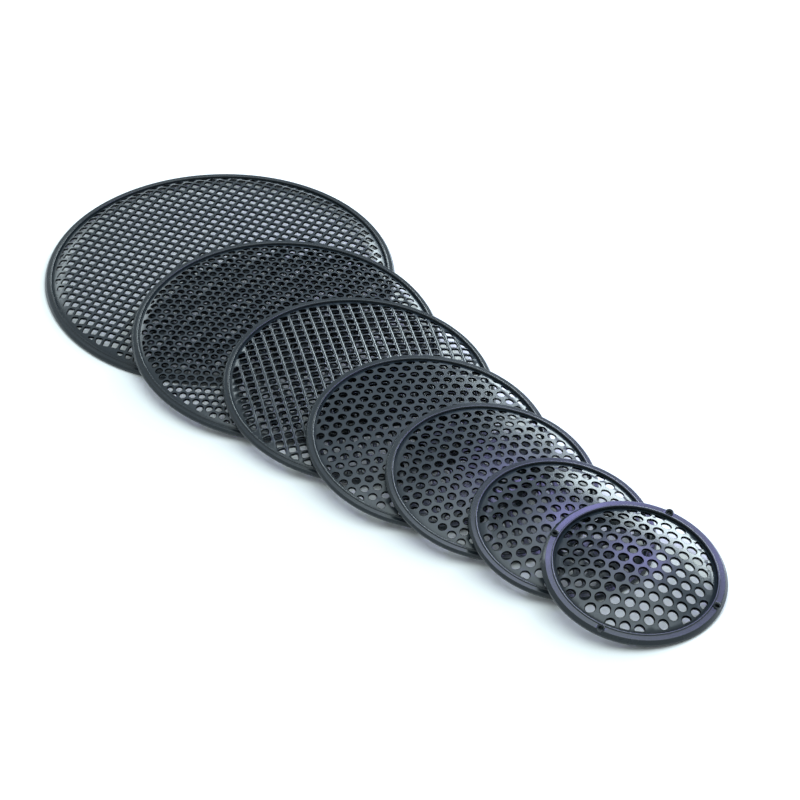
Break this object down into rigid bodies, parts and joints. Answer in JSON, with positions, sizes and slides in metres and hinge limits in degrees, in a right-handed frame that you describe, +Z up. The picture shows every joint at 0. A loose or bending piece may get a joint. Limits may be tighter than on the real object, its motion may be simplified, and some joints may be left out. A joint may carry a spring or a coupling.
{
  "type": "speaker grille set",
  "caption": "Row of round domed black perforated grilles, each leaning on the next larger one, with trim rings, mesh domes and gaskets.",
  "frame": {"origin": "middle of the whole row's footprint, on the floor", "axes": "+X along the row from the largest grille to the smallest, +Z up"},
  "size_m": [0.769, 0.315, 0.0363],
  "materials": {
    "ring_plastic": "black moulded ABS, semi-gloss",
    "mesh_plastic": "black moulded ABS, glossy on the raised bars",
    "gasket_foam": "black closed-cell foam, matt"
  },
  "bodies": {
    "grille_1": {"grille_1_trim_ring": "ring_plastic", "grille_1_mesh_dome": "mesh_plastic", "grille_1_gasket": "gasket_foam"},
    "grille_2": {"grille_2_trim_ring": "ring_plastic", "grille_2_mesh_dome": "mesh_plastic", "grille_2_gasket": "gasket_foam"},
    "grille_3": {"grille_3_trim_ring": "ring_plastic", "grille_3_mesh_dome": "mesh_plastic", "grille_3_gasket": "gasket_foam"},
    "grille_4": {"grille_4_trim_ring": "ring_plastic", "grille_4_mesh_dome": "mesh_plastic", "grille_4_gasket": "gasket_foam"},
    "grille_5": {"grille_5_trim_ring": "ring_plastic", "grille_5_mesh_dome": "mesh_plastic", "grille_5_gasket": "gasket_foam"},
    "grille_6": {"grille_6_trim_ring": "ring_plastic", "grille_6_mesh_dome": "mesh_plastic", "grille_6_gasket": "gasket_foam"},
    "grille_7": {"grille_7_trim_ring": "ring_plastic", "grille_7_mesh_dome": "mesh_plastic", "grille_7_gasket": "gasket_foam"}
  },
  "joints": [
    {"name": "lift_grille_2", "type": "slide", "parent": "grille_1", "child": "grille_2", "axis": [0, 0, 1], "range_m": [0, 0.1]},
    {"name": "lift_grille_3", "type": "slide", "parent": "grille_2", "child": "grille_3", "axis": [0, 0, 1], "range_m": [0, 0.1]},
    {"name": "lift_grille_4", "type": "slide", "parent": "grille_3", "child": "grille_4", "axis": [0, 0, 1], "range_m": [0, 0.1]},
    {"name": "lift_grille_5", "type": "slide", "parent": "grille_4", "child": "grille_5", "axis": [0, 0, 1], "range_m": [0, 0.1]},
    {"name": "lift_grille_6", "type": "slide", "parent": "grille_5", "child": "grille_6", "axis": [0, 0, 1], "range_m": [0, 0.1]},
    {"name": "lift_grille_7", "type": "slide", "parent": "grille_6", "child": "grille_7", "axis": [0, 0, 1], "range_m": [0, 0.1]}
  ]
}
